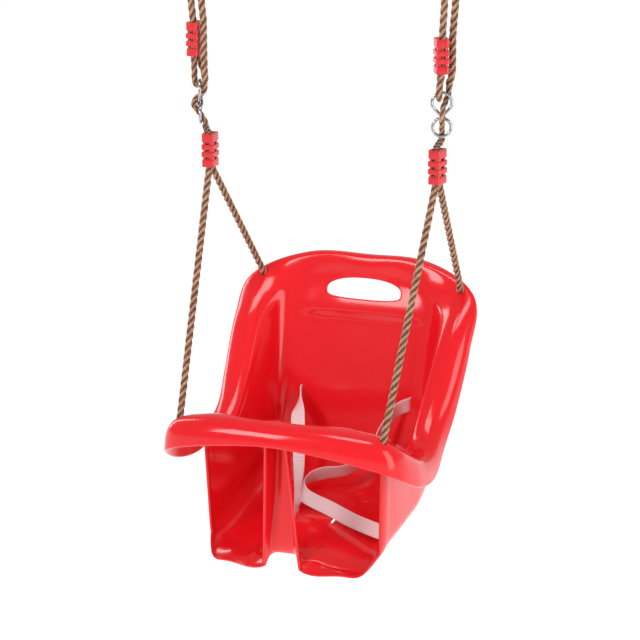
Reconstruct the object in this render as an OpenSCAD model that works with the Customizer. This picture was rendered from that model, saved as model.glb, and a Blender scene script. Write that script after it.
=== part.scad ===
// Toddler bucket swing: moulded bucket seat on four ropes, two rope clamps and one wire
// height adjuster on each side, hung from two steel rings.
// Shared frame: X across the seat, -Y in front of the child, Z up. Origin on the swing axis,
// half way between the two rings. All lengths in millimetres.

/* [Hanging] */
// Swing axis to the level of the seat floor underside
seat_drop = 800; // [700:5:900]
// How far the rings lie in front of the middle of the seat
ring_forward = 8; // [0:0.5:20]
// How far the seat tips back when it hangs at rest, with its weight under the rings
hang_tilt = 2.2; // [0:0.1:5]
// Half the distance between the two steel rings
ring_half_span = 179; // [150:1:220]
// Ring radius, to the middle of the wire
ring_radius = 17; // [14:0.5:22]
// Ring wire thickness
ring_wire = 5; // [4:0.5:7]

/* [Rope] */
// Rope thickness
rope_d = 10; // [8:0.5:12]
// Rope thickness where the steel wire squeezes it
squeezed_d = 8; // [7:0.5:10]

/* [Height adjuster] */
// Adjuster height, bottom eye to top eye
eight_height = 60; // [50:1:70]
// Adjuster wire thickness
eight_wire = 4; // [3:0.25:5]
// Centre radius of the lower eye
lower_eye = 11.7; // [10:0.1:14]
// Centre half width of the upper eye
upper_eye = 12.6; // [10:0.1:15]
// Heights of the left and the right adjuster's middle above the seat underside
eight_level = [580, 584]; // [560:1:620]
// Distances of the left and the right adjuster from the middle of the swing
eight_half_span = [169, 165]; // [150:1:185]
// Turn of the left and the right adjuster about the rope
eight_turn = [-68, 18]; // [-90:1:90]

/* [Rope clamps] */
// Clamp length along the rope
clamp_length = 44; // [36:1:52]
// Clamp width and depth at the ribs
clamp_section = [17.5, 25]; // [14:0.5:30]
// How deep the grooves between the ribs are
groove_depth = 1.6; // [0.5:0.1:2.5]
// Height of the middle of the lower clamps
lower_clamp_level = 516; // [490:1:540]
// Heights of the middle of the upper clamps, left and right
upper_clamp_level = [663, 659]; // [640:1:690]
// Distances of the left and the right upper clamp from the middle of the swing
upper_clamp_half_span = [174, 164]; // [150:1:190]
// Half the distance between the lower clamps
lower_clamp_half_span = 158; // [140:1:175]
// Turn of the lower clamps, left and right
lower_clamp_turn = [3, -9]; // [-90:1:90]
// Turn of the upper clamps, left and right
upper_clamp_turn = [-4, 30]; // [-90:1:90]

/* [Seat shell] */
// Wall thickness of the moulding
shell_wall = 4; // [3:0.25:6]
// Rope holes in the front bar
front_hole = [140, -151, 192]; // [-200:1:400]
// Rope holes in the back corners
back_hole = [144, 144, 315]; // [-200:1:400]
// Diameter of the rope holes
rope_hole_d = 12; // [10:0.5:16]
// Height of the middle of the carrying handle opening
handle_level = 299; // [270:1:310]
// Half width of the carrying handle opening, and its reach above and below that middle
handle_half_width = 56; // [40:0.5:70]
handle_reach = [18, 14]; // [8:0.5:19]
// Height of the belt slots in the back
back_slot_level = 155; // [120:1:200]
// Half the distance between the belt slots in the back
back_slot_half_span = 80; // [50:1:100]
// Half the distance between the belt slots in the floor
floor_slot_half_span = 27; // [10:1:40]
// Distance of the floor slots in front of the swing axis
floor_slot_front = 32; // [0:1:60]
// Length and width of every belt slot
slot_size = [26, 5]; // [3:0.5:40]

/* [Belt] */
// Webbing width and thickness
webbing = [20, 1.4]; // [1:0.1:30]

/* [Hidden] */
$fn = 48;
sides = [-1, 1];
rope_r = rope_d / 2;
squeezed_r = squeezed_d / 2;
tube_sides = 10;
clamp_end = clamp_length / 2;
rest_gap = 0.3;
cut_margin = 30;

// Guide curves of the seat, one row for each station from the middle of the front bar round
// the right side to the middle of the back. The points of a row: outer lip, rim crown,
// inner edge of the rim, foot of the wall, corner below it, edge of the floor.
// The first number of a row is the distance along the rim.
stations = [
    [0, [0, -188, 182], [0, -163, 204], [0, -140, 188], [0, -140, 34], [0, -138, 12], [0, -118, 18]],
    [14, [14, -188, 182], [14, -163, 204], [10, -140, 188], [17, -142, 30], [18, -140, 12], [16, -118, 18]],
    [20, [20, -188, 182], [20, -163, 204], [13, -168, 182], [25, -148, -2], [25, -146, 16], [23, -122, 18]],
    [85, [85, -184, 174], [85, -159, 203], [80, -136, 188], [80, -143, -4], [80, -143, 16], [74, -118, 18]],
    [120, [123, -178, 166], [115, -156, 198], [106, -128, 180], [104, -134, -4], [104, -134, 15], [88, -110, 15]],
    [150, [157, -164, 154], [140, -148, 191.5], [124, -110, 165], [119, -104, 20], [114, -98, 0], [94, -90, 11]],
    [200, [169, -112, 126], [150, -104, 164], [127, -86, 146], [122, -78, 32], [114, -74, -1], [86, -66, 11]],
    [240, [169, -62, 112], [150, -62, 145], [127, -55, 130], [124, -42, 38], [112, -40, 1], [84, -36, 17]],
    [280, [166, -20, 113], [148, -24, 147], [126, -24, 128], [125, -4, 44], [113, -2, 5], [82, -6, 22]],
    [325, [163, 20, 138], [146, 12, 170], [125, 8, 152], [125, 34, 50], [113, 40, 9], [80, 26, 29]],
    [365, [167, 55, 181], [148, 48, 210], [126, 46, 190], [122, 76, 62], [110, 80, 20], [76, 54, 36]],
    [415, [170, 100, 250], [150, 92, 272], [127, 95, 248], [117, 109, 88], [100, 106, 34], [66, 70, 45]],
    [470, [163, 142, 304], [143, 144, 315], [115, 142, 291], [84, 113, 103], [70, 108, 45], [48, 76, 53]],
    [545, [90, 180, 334], [80, 162, 343], [65, 160, 314], [48, 117, 110], [40, 107, 50], [27, 76, 56]],
    [635, [0, 188, 336], [0, 168, 344.5], [0, 163, 316], [0, 118, 112], [0, 108, 50], [0, 77, 56]]
];
floor_middle = [0, -20, 35];
last_station = len(stations) - 1;
half_rim = stations[last_station][0];
// Stations that edge the leg openings: the pommel flange and the side wall
flange_u = stations[2][0];
side_wall_u = stations[5][0];

// ---------- curves ----------

function mirror_x(p) = [-p[0], p[1], p[2]];
function station_u(i) =
    i < 0 ? -stations[-i][0] :
    i > last_station ? 2 * half_rim - stations[2 * last_station - i][0] :
    stations[i][0];
function station_point(i, g) =
    i < 0 ? mirror_x(stations[-i][g]) :
    i > last_station ? mirror_x(stations[2 * last_station - i][g]) :
    stations[i][g];
function span_at(u, i = 0) = (i >= last_station - 1 || u < stations[i + 1][0]) ? i : span_at(u, i + 1);

// A smooth curve through the guide points g of all stations, at distance u along the rim.
function hermite(b, c, tb, tc, h, t) =
    (2 * t * t * t - 3 * t * t + 1) * b + (t * t * t - 2 * t * t + t) * h * tb
    + (-2 * t * t * t + 3 * t * t) * c + (t * t * t - t * t) * h * tc;
function slope_at(i, g) =
    (station_point(i + 1, g) - station_point(i - 1, g)) / (station_u(i + 1) - station_u(i - 1));
function guide(u, g) =
    let (i = span_at(u), h = station_u(i + 1) - station_u(i), t = (u - station_u(i)) / h)
    hermite(station_point(i, g), station_point(i + 1, g), slope_at(i, g), slope_at(i + 1, g), h, t);

function bezier(a, b, c, d, t) =
    pow(1 - t, 3) * a + 3 * pow(1 - t, 2) * t * b + 3 * (1 - t) * t * t * c + t * t * t * d;

// The seat surface. u runs along the rim, negative on the left. t runs down the section:
// 0..1 outer skirt, 1..2 inner side of the rim, 2..3 wall, 3..4 bend into the floor, 4..5 floor.
function right_skin(u, t) =
    let (lip = guide(u, 1), crown = guide(u, 2), inner = guide(u, 3),
         foot = guide(u, 4), corner = guide(u, 5), edge = guide(u, 6),
         outer_top = [lip[0], lip[1], crown[2]], inner_top = [inner[0], inner[1], crown[2]])
    t <= 1 ? bezier(lip, lip + 0.75 * (outer_top - lip), crown + 0.62 * (outer_top - crown), crown, t) :
    t <= 2 ? bezier(crown, crown + 0.62 * (inner_top - crown), inner + 0.62 * (inner_top - inner), inner, t - 1) :
    t <= 3 ? inner + (foot - inner) * (t - 2) :
    t <= 4 ? bezier(foot, foot + 0.75 * (corner - foot), edge + 0.6 * (corner - edge), edge, t - 3) :
    edge + (floor_middle - edge) * (t - 4);
function skin(u, t) = u < 0 ? mirror_x(right_skin(-u, t)) : right_skin(u, t);

function unit(v) = v / norm(v);
// Unit normal of the seat surface, pointing to the child's side and out of the rim's top.
function normal(u, t) =
    let (du = 1, dt = 0.02,
         along = skin(min(u + du, half_rim), t) - skin(max(u - du, -half_rim), t),
         down = skin(u, min(t + dt, 4.98)) - skin(u, max(t - dt, 0)))
    unit(cross(down, along));

// ---------- thick shell ----------

// Columns round the rim. The whole loop closes at the middle of the back.
right_columns = [0, 7, 14, 20, 52, 85, 103, 120, 135, 150, 175, 200, 220, 240, 260, 280, 302, 325, 345, 365,
    390, 415, 442, 470, 507, 545, 590];
columns = concat([for (i = [len(right_columns) - 1 : -1 : 1]) -right_columns[i]], right_columns, [half_rim]);
rows = [0, 0.35, 0.65, 0.85, 1, 1.2, 1.45, 1.7, 2, 2.33, 2.67, 3, 3.2, 3.4, 3.6, 3.8, 4, 4.45, 4.9];
column_count = len(columns);
row_count = len(rows);
leg_first_row = 8;
leg_last_row = 10;

function in_leg_opening(c, r) =
    let (u = (columns[c] + columns[(c + 1) % column_count]) / 2)
    r >= leg_first_row && r <= leg_last_row && abs(u) > flange_u && abs(u) < side_wall_u
    && c < column_count - 1;
function wrap(c) = (c + column_count) % column_count;
function is_solid(c, r) = r >= 0 && r < row_count - 1 && !in_leg_opening(wrap(c), r);

// Vertex numbers: child's side first, then the outside, then the two floor middles.
function top_vertex(c, r) = wrap(c) * row_count + r;
function under_vertex(c, r) = column_count * row_count + top_vertex(c, r);
top_middle = 2 * column_count * row_count;
under_middle = top_middle + 1;

module shell_solid() {
    half = shell_wall / 2;
    top_points = [for (u = columns) for (t = rows) skin(u, t) + half * normal(u, t)];
    under_points = [for (u = columns) for (t = rows) skin(u, t) - half * normal(u, t)];
    points = concat(top_points, under_points,
        [floor_middle + [0, 0, half], floor_middle - [0, 0, half]]);
    last_row = row_count - 1;
    cells = [for (c = [0 : column_count - 1]) for (r = [0 : row_count - 2]) if (is_solid(c, r)) [c, r]];
    top_faces = [for (k = cells) for (f = [
        [top_vertex(k[0], k[1]), top_vertex(k[0] + 1, k[1]), top_vertex(k[0] + 1, k[1] + 1)],
        [top_vertex(k[0], k[1]), top_vertex(k[0] + 1, k[1] + 1), top_vertex(k[0], k[1] + 1)]]) f];
    under_faces = [for (k = cells) for (f = [
        [under_vertex(k[0], k[1]), under_vertex(k[0] + 1, k[1] + 1), under_vertex(k[0] + 1, k[1])],
        [under_vertex(k[0], k[1]), under_vertex(k[0], k[1] + 1), under_vertex(k[0] + 1, k[1] + 1)]]) f];
    // Edge strips wherever a cell has no neighbour
    row_edges = [for (k = cells) if (!is_solid(k[0], k[1] - 1))
        [top_vertex(k[0], k[1]), under_vertex(k[0], k[1]), under_vertex(k[0] + 1, k[1]), top_vertex(k[0] + 1, k[1])]];
    low_edges = [for (k = cells) if (k[1] < last_row - 1 && !is_solid(k[0], k[1] + 1))
        [top_vertex(k[0] + 1, k[1] + 1), under_vertex(k[0] + 1, k[1] + 1),
            under_vertex(k[0], k[1] + 1), top_vertex(k[0], k[1] + 1)]];
    left_edges = [for (k = cells) if (!is_solid(k[0] - 1, k[1]))
        [top_vertex(k[0], k[1] + 1), under_vertex(k[0], k[1] + 1), under_vertex(k[0], k[1]), top_vertex(k[0], k[1])]];
    right_edges = [for (k = cells) if (!is_solid(k[0] + 1, k[1]))
        [top_vertex(k[0] + 1, k[1]), under_vertex(k[0] + 1, k[1]),
            under_vertex(k[0] + 1, k[1] + 1), top_vertex(k[0] + 1, k[1] + 1)]];
    // Fans that close the floor
    floor_fan = [for (c = [0 : column_count - 1]) [top_vertex(c, last_row), top_vertex(c + 1, last_row), top_middle]];
    under_fan = [for (c = [0 : column_count - 1])
        [under_vertex(c + 1, last_row), under_vertex(c, last_row), under_middle]];
    polyhedron(points, concat(top_faces, under_faces, row_edges, low_edges, left_edges, right_edges,
        floor_fan, under_fan));
}

// A cylinder from one point to another.
module rod(a, b, r) {
    v = b - a;
    translate(a)
        rotate([0, acos(v[2] / norm(v)), atan2(v[1], v[0])])
            cylinder(r = r, h = norm(v));
}

// ---------- where the ropes run ----------

function turned(p, angle) =
    [p[0] * cos(angle) - p[1] * sin(angle), p[0] * sin(angle) + p[1] * cos(angle), p[2]];
function pick(side, pair) = side < 0 ? pair[0] : pair[1];
function at_side(side, p) = [side * p[0], p[1], p[2]];

function ring_centre(side) = [side * ring_half_span, -ring_forward, seat_drop];
function lower_clamp_centre(side) = [side * lower_clamp_half_span, -1, lower_clamp_level];
function eight_centre(side) = [side * pick(side, eight_half_span), -6, pick(side, eight_level)];
// The upper clamp sits on the strand that comes down left of the ring, on both sides
function upper_clamp_centre(side) =
    [side * pick(side, upper_clamp_half_span), -7, pick(side, upper_clamp_level)];
function in_eight(side, p) = eight_centre(side) + turned(p, pick(side, eight_turn));
function in_lower_clamp(side, p) = lower_clamp_centre(side) + turned(p, pick(side, lower_clamp_turn));
function in_upper_clamp(side, p) = upper_clamp_centre(side) + turned(p, pick(side, upper_clamp_turn));

// The seat frame has its origin on the floor's underside and stands straight.
module in_seat_frame() {
    rotate([-hang_tilt, 0, 0])
        translate([0, ring_forward, -seat_drop])
            children();
}

// A round tube along a list of points, closed with flat ends.
module tube(path, r) {
    n = len(path);
    function forward(i) = unit(path[min(i + 1, n - 1)] - path[max(i - 1, 0)]);
    reference = abs(unit(path[n - 1] - path[0])[1]) > 0.8 ? [1, 0, 0] : [0, 1, 0];
    function across(i) = unit(cross(forward(i), reference));
    function beside(i) = cross(forward(i), across(i));
    points = [for (i = [0 : n - 1]) for (k = [0 : tube_sides - 1])
        path[i] + r * (cos(k * 360 / tube_sides) * across(i) + sin(k * 360 / tube_sides) * beside(i))];
    walls = [for (i = [0 : n - 2]) for (k = [0 : tube_sides - 1])
        let (m = (k + 1) % tube_sides)
        [i * tube_sides + k, i * tube_sides + m, (i + 1) * tube_sides + m, (i + 1) * tube_sides + k]];
    polyhedron(points, concat([for (f = walls) [f[3], f[2], f[1], f[0]]],
        [[for (k = [0 : tube_sides - 1]) k]], [[for (k = [tube_sides - 1 : -1 : 0]) (n - 1) * tube_sides + k]]));
}

// A smooth path through a few points.
function smooth_slope(p, i) =
    i == 0 ? p[1] - p[0] :
    i == len(p) - 1 ? p[i] - p[i - 1] :
    (p[i + 1] - p[i - 1]) / 2;
function smooth(p, steps) = concat(
    [for (i = [0 : len(p) - 2]) for (k = [0 : steps - 1])
        hermite(p[i], p[i + 1], smooth_slope(p, i), smooth_slope(p, i + 1), 1, k / steps)],
    [p[len(p) - 1]]);

// ---------- steel parts ----------

module ring(side) {
    color("silver")
        translate([side * ring_half_span, 0, 0])
            rotate([0, 90, 0])
                rotate_extrude()
                    translate([ring_radius, 0])
                        circle(d = ring_wire);
}

// Wire adjuster: a round lower eye and a taller pear-shaped upper eye. The wire crosses itself
// between them, once in front and once behind.
function eight_path() =
    let (top = (eight_height - eight_wire) / 2, low = -top + lower_eye, high = top - upper_eye,
         crossing = low + lower_eye + 2, side_step = eight_wire / 2 + 0.2)
    concat(
        [for (a = [60 : -20 : -240]) [lower_eye * cos(a), 0, low + lower_eye * sin(a)]],
        [[0, -side_step, crossing]],
        [for (a = [-30 : 20 : 210]) [upper_eye * cos(a), 0, high + upper_eye * sin(a)]],
        [[0, side_step, crossing]]);

module closed_tube(path, r) {
    n = len(path);
    function forward(i) = unit(path[(i + 1) % n] - path[(i + n - 1) % n]);
    function across(i) = unit([0, 1, 0] - forward(i)[1] * forward(i));
    function beside(i) = cross(forward(i), across(i));
    wire_sides = 8;
    points = [for (i = [0 : n - 1]) for (k = [0 : wire_sides - 1])
        path[i] + r * (cos(k * 360 / wire_sides) * across(i) + sin(k * 360 / wire_sides) * beside(i))];
    faces = [for (i = [0 : n - 1]) for (k = [0 : wire_sides - 1])
        let (m = (k + 1) % wire_sides, j = (i + 1) % n)
        [j * wire_sides + k, j * wire_sides + m, i * wire_sides + m, i * wire_sides + k]];
    polyhedron(points, faces);
}

module eight(side) {
    color("silver")
        in_seat_frame()
            translate(eight_centre(side))
                rotate([0, 0, pick(side, eight_turn)])
                    closed_tube(eight_path(), eight_wire / 2);
}

// ---------- rope clamps ----------

// Heights of the end caps, grooves and ribs, from the bottom up, and whether each is a groove
clamp_slices = [[9.2, 0], [4.2, 1], [5.8, 0], [4.2, 1], [5.8, 0], [4.2, 1], [10.6, 0]];
clamp_corner = 3.5;
bore_offset = rope_r + 0.3;
bore_d = rope_d + 0.6;
window_size = [7, 3];

function slice_start(i) = i == 0 ? -clamp_end : slice_start(i - 1) + clamp_slices[i - 1][0];

// Half of the clamp's section: a rounded oblong, cut along its long middle line.
module clamp_outline(shrink, bulge) {
    w = clamp_section[0] - 2 * shrink + bulge;
    d = clamp_section[1] - 2 * shrink + bulge;
    square([w, d - 2 * clamp_corner], center = true);
    square([w - 2 * clamp_corner, d], center = true);
    for (x = [-1, 1])
        for (y = [-1, 1])
            translate([x * (w / 2 - clamp_corner), y * (d / 2 - clamp_corner)])
                circle(r = clamp_corner);
}

// One moulded half of a clamp. half is 1 for the half on +X and -1 for the other.
module clamp_half(half) {
    difference() {
        for (i = [0 : len(clamp_slices) - 1])
            translate([0, 0, slice_start(i)])
                linear_extrude(clamp_slices[i][0])
                    difference() {
                        clamp_outline(clamp_slices[i][1] * groove_depth, (i == 0 || i == 6) ? -1 : 0);
                        translate([-half * clamp_section[0], 0])
                            square([2 * clamp_section[0], 2 * clamp_section[1]], center = true);
                    }
        for (y = [-bore_offset, bore_offset])
            translate([0, y, -clamp_length])
                cylinder(d = bore_d, h = 2 * clamp_length);
        // The rope shows through a window in every groove
        for (i = [1, 3, 5])
            translate([0, 0, slice_start(i) + clamp_slices[i][0] / 2]) {
                cube([2 * clamp_section[0], window_size[0], window_size[1]], center = true);
                cube([window_size[0] - 2, 2 * clamp_section[1], window_size[1]], center = true);
            }
    }
}

module lower_clamp(side, half) {
    color("crimson")
        in_seat_frame()
            translate(lower_clamp_centre(side))
                rotate([0, 0, pick(side, lower_clamp_turn)])
                    clamp_half(half);
}

module upper_clamp(side, half) {
    color("crimson")
        in_seat_frame()
            translate(upper_clamp_centre(side))
                rotate([0, 0, pick(side, upper_clamp_turn)])
                    clamp_half(half);
}

// ---------- rope ----------

clamp_tail = 2;
// Where the main rope leaves the adjuster, behind its upper eye
eight_exit = [8.4, 6.6, eight_height / 2 + 4];
eight_entry = [0, 6.4, -eight_height / 2 - 1];
// Length of the straight piece at the end of every rope, so that its flat end faces its neighbour
straight_end = 3;
rise = [0, 0, straight_end];

module rope(path, r) {
    color("tan")
        in_seat_frame()
            tube(path, r);
}

// Main rope from behind the lower eye, in front of the crossing and out behind the upper eye.
module weave_rope(side) {
    turns = [eight_entry, [0, 6.4, -27], [0, 4, -22.5], [0, 0, -16.3], [0.3, -4.8, -10.5], [0.6, -8.6, -5],
        [0.8, -8.8, -1], [1, -5.2, 4.5], [1.5, 0, 8.8], [3.2, 4.5, 13], [5.8, 6.6, 19], [8.4, 6.6, 27], eight_exit];
    rope([for (p = smooth(turns, 2)) in_eight(side, p)], squeezed_r);
}

// End loop: down through the upper clamp, under the top of the adjuster and back up into the clamp.
module loop_rope(side) {
    start = [for (z = [clamp_end + clamp_tail, 0, -clamp_end]) in_upper_clamp(side, [0, -bore_offset, z])];
    finish = [for (z = [-clamp_end, clamp_end - 8]) in_upper_clamp(side, [0, bore_offset, z])];
    // The loop lies across the adjuster's wire: these run from its front to its back
    front_first = (in_eight(side, [0, -1, 0]) - in_eight(side, [0, 0, 0]))
        * (in_upper_clamp(side, [0, -1, 0]) - in_upper_clamp(side, [0, 0, 0])) >= 0 ? 1 : -1;
    under = [[-3.6, -7, 33], [-3.6, -7.2, 27.5], [-3.6, -5.4, 22.2], [-3.6, 0, 19.3], [-3.6, 5.4, 22.2],
        [-3.6, 7.2, 27.5], [-3.6, 7, 33]];
    wrap_points = [for (p = under) in_eight(side, [p[0], front_first * p[1], p[2]])];
    rope(concat(start, smooth(wrap_points, 3), finish), squeezed_r + 0.4);
}

// From the lower clamp up to the adjuster.
module feed_rope(side) {
    rope([in_lower_clamp(side, [0, -bore_offset, -clamp_end]), in_lower_clamp(side, [0, -bore_offset, clamp_end + 2]),
        in_eight(side, eight_entry - rise), in_eight(side, eight_entry - [0, 0, rest_gap])], rope_r);
}

// The back rope's end, held inside the lower clamp.
module clamped_end(side) {
    rope([in_lower_clamp(side, [0, bore_offset, -clamp_end]),
        in_lower_clamp(side, [0, bore_offset, clamp_end - 10])], rope_r);
}

// Over the ring: up from the adjuster beside the upper clamp, over the ring's lower arc and down to the clamp.
module upper_rope(side) {
    c = ring_centre(side);
    bend = ring_wire / 2 + rope_r + rest_gap;
    beside = clamp_section[0] / 2 + rope_r + 0.7;
    lean = pick(side, [-4, 1]);
    arc = [for (a = [0 : 15 : 180]) c + [bend * cos(a), 0, -ring_radius + bend * sin(a)]];
    start = in_eight(side, eight_exit + [0, 0, rest_gap]);
    past_clamp = [for (z = [-clamp_end, clamp_end + 4]) in_upper_clamp(side, [beside, lean, z])];
    finish = in_upper_clamp(side, [0, -bore_offset, clamp_end + clamp_tail + rest_gap]);
    rope(concat([start, start + rise], past_clamp, arc, [finish + rise, finish]), rope_r);
}

// The four ropes that carry the seat start just under the lower clamps and end in their knots.
mouth_drop = clamp_end + rest_gap;
// The rope bends straight down this far past its hole
under_hole = 10;
function front_hole_at(side) = at_side(side, front_hole);
function back_hole_at(side) = at_side(side, back_hole);
function mouth(side, y) = in_lower_clamp(side, [0, y, -mouth_drop]);
function along(a, b, extra) = b + extra * unit(b - a);

function knot_top(start, hole) = along(start, hole, under_hole) - rise;

module carrying_rope(start, hole) {
    rope([start, start - rise, along(start, hole, under_hole), knot_top(start, hole)], rope_r);
}

module front_rope(side) {
    carrying_rope(mouth(side, -bore_offset), front_hole_at(side));
}

module back_rope(side) {
    carrying_rope(mouth(side, bore_offset), back_hole_at(side));
}

// Stopper knot: three turns of the rope round itself, pulled up under the rim.
module stopper_knot(start, hole) {
    turn_r = rope_r * 0.9;
    color("tan")
        in_seat_frame()
            translate(knot_top(start, hole) - [0, 0, rest_gap])
                rotate([180, 0, 0]) {
                    cylinder(r = turn_r + 1, h = 5 * turn_r);
                    for (i = [0 : 2])
                        translate([0, 0, turn_r * (1 + 1.5 * i)])
                            rotate_extrude()
                                translate([turn_r * 1.2, 0])
                                    circle(r = turn_r);
                }
}

module front_knot(side) {
    stopper_knot(mouth(side, -bore_offset), front_hole_at(side));
}

module back_knot(side) {
    stopper_knot(mouth(side, bore_offset), back_hole_at(side));
}

// ---------- seat shell ----------

module slot_cut(length, height, depth) {
    cube([length, depth, height], center = true);
}

// Opening with an arched top and a flatter bottom.
function handle_edge(a) =
    let (up = sin(a) >= 0, reach = up ? handle_reach[0] : -handle_reach[1],
         flatness = up ? 0.95 : 0.5, squareness = up ? 0.9 : 0.7)
    [handle_half_width * sign(cos(a)) * pow(abs(cos(a)), squareness), reach * pow(abs(sin(a)), flatness)];

module handle_cut() {
    rotate([90, 0, 0])
        linear_extrude(2 * cut_margin, center = true)
            polygon([for (a = [5 : 10 : 355]) handle_edge(a)]);
}

module seat_shell() {
    color("red")
        in_seat_frame()
            difference() {
                shell_solid();
                translate([0, 160, handle_level])
                    handle_cut();
                for (side = sides) {
                    translate([side * back_slot_half_span, 124, back_slot_level])
                        slot_cut(slot_size[1], slot_size[0], cut_margin);
                    translate([side * floor_slot_half_span, -floor_slot_front, 32])
                        cube([slot_size[1], slot_size[0], cut_margin], center = true);
                    rope_hole(mouth(side, -bore_offset), front_hole_at(side));
                    rope_hole(mouth(side, bore_offset), back_hole_at(side));
                }
            }
}

module rope_hole(start, hole) {
    rod(along(start, hole, -12), along(start, hole, 12), rope_hole_d / 2);
}

// ---------- belt ----------

// A flat strap along a path. widths gives the strap's width direction at every point.
module strap(path, widths) {
    n = len(path);
    function forward(i) = unit(path[min(i + 1, n - 1)] - path[max(i - 1, 0)]);
    function across(i) = unit(widths[i] - (widths[i] * forward(i)) * forward(i));
    function face(i) = cross(forward(i), across(i));
    half_w = webbing[0] / 2;
    half_t = webbing[1] / 2;
    corners = [[-1, -1], [1, -1], [1, 1], [-1, 1]];
    points = [for (i = [0 : n - 1]) for (k = corners)
        path[i] + k[0] * half_w * across(i) + k[1] * half_t * face(i)];
    walls = [for (i = [0 : n - 2]) for (k = [0 : 3])
        let (m = (k + 1) % 4)
        for (f = [[i * 4 + k, (i + 1) * 4 + k, i * 4 + m], [i * 4 + m, (i + 1) * 4 + k, (i + 1) * 4 + m]]) f];
    polyhedron(points, concat(walls, [[0, 1, 2, 3]], [[for (k = [3 : -1 : 0]) (n - 1) * 4 + k]]));
}

// Left strap: from the left back slot, across to the middle and down through the floor slot.
module belt_left() {
    path = [[-80, 134, 155], [-80, 120, 154], [-75, 98, 145], [-68, 78, 133], [-57, 50, 108], [-46, 20, 84],
        [-37, -10, 63], [-29, -28, 50], [-27, -32, 42], [-27, -32, 22]];
    widths = [[0, 0, 1], [0, 0, 1], [0.5, 0, 0.8], [1, 0.1, 0.2], [1, 0.2, 0.1], [0.8, 0.5, 0],
        [0.25, 1, 0], [0, 1, 0], [0, 1, 0], [0, 1, 0]];
    color("white")
        in_seat_frame()
            strap(smooth(path, 3), smooth(widths, 3));
}

// Right strap: from the right back slot, down in a slack curve and folded over onto the floor.
module belt_right() {
    path = [[80, 134, 155], [80, 120, 154], [66, 108, 147], [50, 84, 122], [36, 60, 90], [14, 46, 75],
        [-14, 42, 69], [-32, 32, 63], [-38, 13, 58], [-30, -3, 53], [-12, -13, 49], [19, -26, 45],
        [55, -42, 39], [84, -53, 36], [110, -64, 35]];
    widths = [[0, 0, 1], [0, 0, 1], [0.1, -0.1, 1], [0.3, -0.1, 0.9], [0.4, -0.4, 0.7], [0, -0.5, 0.9],
        [0, -0.3, 1], [0.4, -0.1, 1], [0.6, 0.1, 0.8], [0.5, 0.4, 0.6], [0.3, 0.6, 0.6], [0.15, 0.5, 0.75],
        [0.1, 0.5, 0.8], [0.1, 0.5, 0.8], [0.1, 0.5, 0.8]];
    color("white")
        in_seat_frame()
            strap(smooth(path, 3), smooth(widths, 3));
}

// Small bar that stops the left strap under the floor.
module belt_stop() {
    color("black")
        in_seat_frame()
            translate([-floor_slot_half_span, -floor_slot_front, 18])
                cube([12, 30, 3], center = true);
}

// ---------- nodes ----------

ring(-1);  // ring_left
ring(1);  // ring_right
upper_rope(-1);  // upper_rope_left
upper_rope(1);  // upper_rope_right
eight(-1);  // eight_left
eight(1);  // eight_right
weave_rope(-1);  // weave_rope_left
weave_rope(1);  // weave_rope_right
loop_rope(-1);  // loop_rope_left
loop_rope(1);  // loop_rope_right
upper_clamp(-1, 1);  // upper_clamp_left_inner
upper_clamp(-1, -1);  // upper_clamp_left_outer
upper_clamp(1, -1);  // upper_clamp_right_inner
upper_clamp(1, 1);  // upper_clamp_right_outer
lower_clamp(-1, 1);  // lower_clamp_left_inner
lower_clamp(-1, -1);  // lower_clamp_left_outer
lower_clamp(1, -1);  // lower_clamp_right_inner
lower_clamp(1, 1);  // lower_clamp_right_outer
feed_rope(-1);  // feed_rope_left
feed_rope(1);  // feed_rope_right
clamped_end(-1);  // clamped_end_left
clamped_end(1);  // clamped_end_right
seat_shell();
front_rope(-1);  // front_rope_left
front_rope(1);  // front_rope_right
back_rope(-1);  // back_rope_left
back_rope(1);  // back_rope_right
front_knot(-1);  // front_knot_left
front_knot(1);  // front_knot_right
back_knot(-1);  // back_knot_left
back_knot(1);  // back_knot_right
belt_left();
belt_right();
belt_stop();
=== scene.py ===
"""Toddler bucket swing: what is seen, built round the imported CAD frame.

Lengths in the tables and functions are millimetres in the seat frame: X across the seat,
-Y in front of the child, Z up from the underside of the floor. to_row() turns them into
metres in the row frame, where the swing axis is the X axis.
"""

import math

import bmesh
import bpy
import numpy as np
from mathutils import Matrix, Vector
from mathutils.geometry import delaunay_2d_cdt


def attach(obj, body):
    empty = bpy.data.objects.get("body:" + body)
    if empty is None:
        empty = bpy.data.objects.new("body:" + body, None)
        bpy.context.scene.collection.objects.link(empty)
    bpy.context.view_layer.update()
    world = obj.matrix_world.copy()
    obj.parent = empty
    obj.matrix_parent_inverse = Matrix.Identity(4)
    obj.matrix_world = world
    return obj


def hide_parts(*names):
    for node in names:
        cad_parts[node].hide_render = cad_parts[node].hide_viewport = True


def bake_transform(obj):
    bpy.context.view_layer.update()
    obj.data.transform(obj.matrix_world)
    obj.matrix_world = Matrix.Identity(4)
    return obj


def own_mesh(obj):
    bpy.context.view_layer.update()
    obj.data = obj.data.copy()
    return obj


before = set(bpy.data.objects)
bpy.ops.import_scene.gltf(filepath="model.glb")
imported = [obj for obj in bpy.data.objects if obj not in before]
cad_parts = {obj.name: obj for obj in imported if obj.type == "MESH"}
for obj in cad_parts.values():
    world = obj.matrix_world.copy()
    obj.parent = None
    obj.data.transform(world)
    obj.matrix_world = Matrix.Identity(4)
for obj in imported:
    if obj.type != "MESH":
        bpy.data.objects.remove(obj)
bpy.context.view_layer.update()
MM = 0.001
X_AXIS, Y_AXIS, Z_AXIS = np.eye(3)

# ---------- dimensions, the same as in the CAD ----------

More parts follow.
